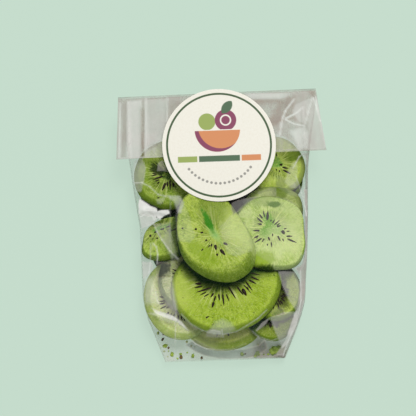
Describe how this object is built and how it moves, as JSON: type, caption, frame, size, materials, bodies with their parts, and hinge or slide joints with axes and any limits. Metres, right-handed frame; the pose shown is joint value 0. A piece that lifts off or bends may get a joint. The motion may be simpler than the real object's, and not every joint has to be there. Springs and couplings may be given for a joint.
{
  "type": "clear film bag of kiwi chips",
  "caption": "Clear block-bottom film bag filled with overlapping dried kiwi slices, its top folded over to the front and shut with a round cream label.",
  "frame": {"origin": "on the surface that the bag lies on, under the middle of its outline", "axes": "+Y along the bag towards its folded top, +Z out of the shown front, +X to the right as seen from the front"},
  "size_m": [0.093, 0.1219, 0.039],
  "materials": {
    "film_with_chips": "gloss",
    "label_paper": "matte"
  },
  "bodies": {
    "root": {"bag": "film_with_chips", "label": "label_paper"}
  },
  "joints": []
}
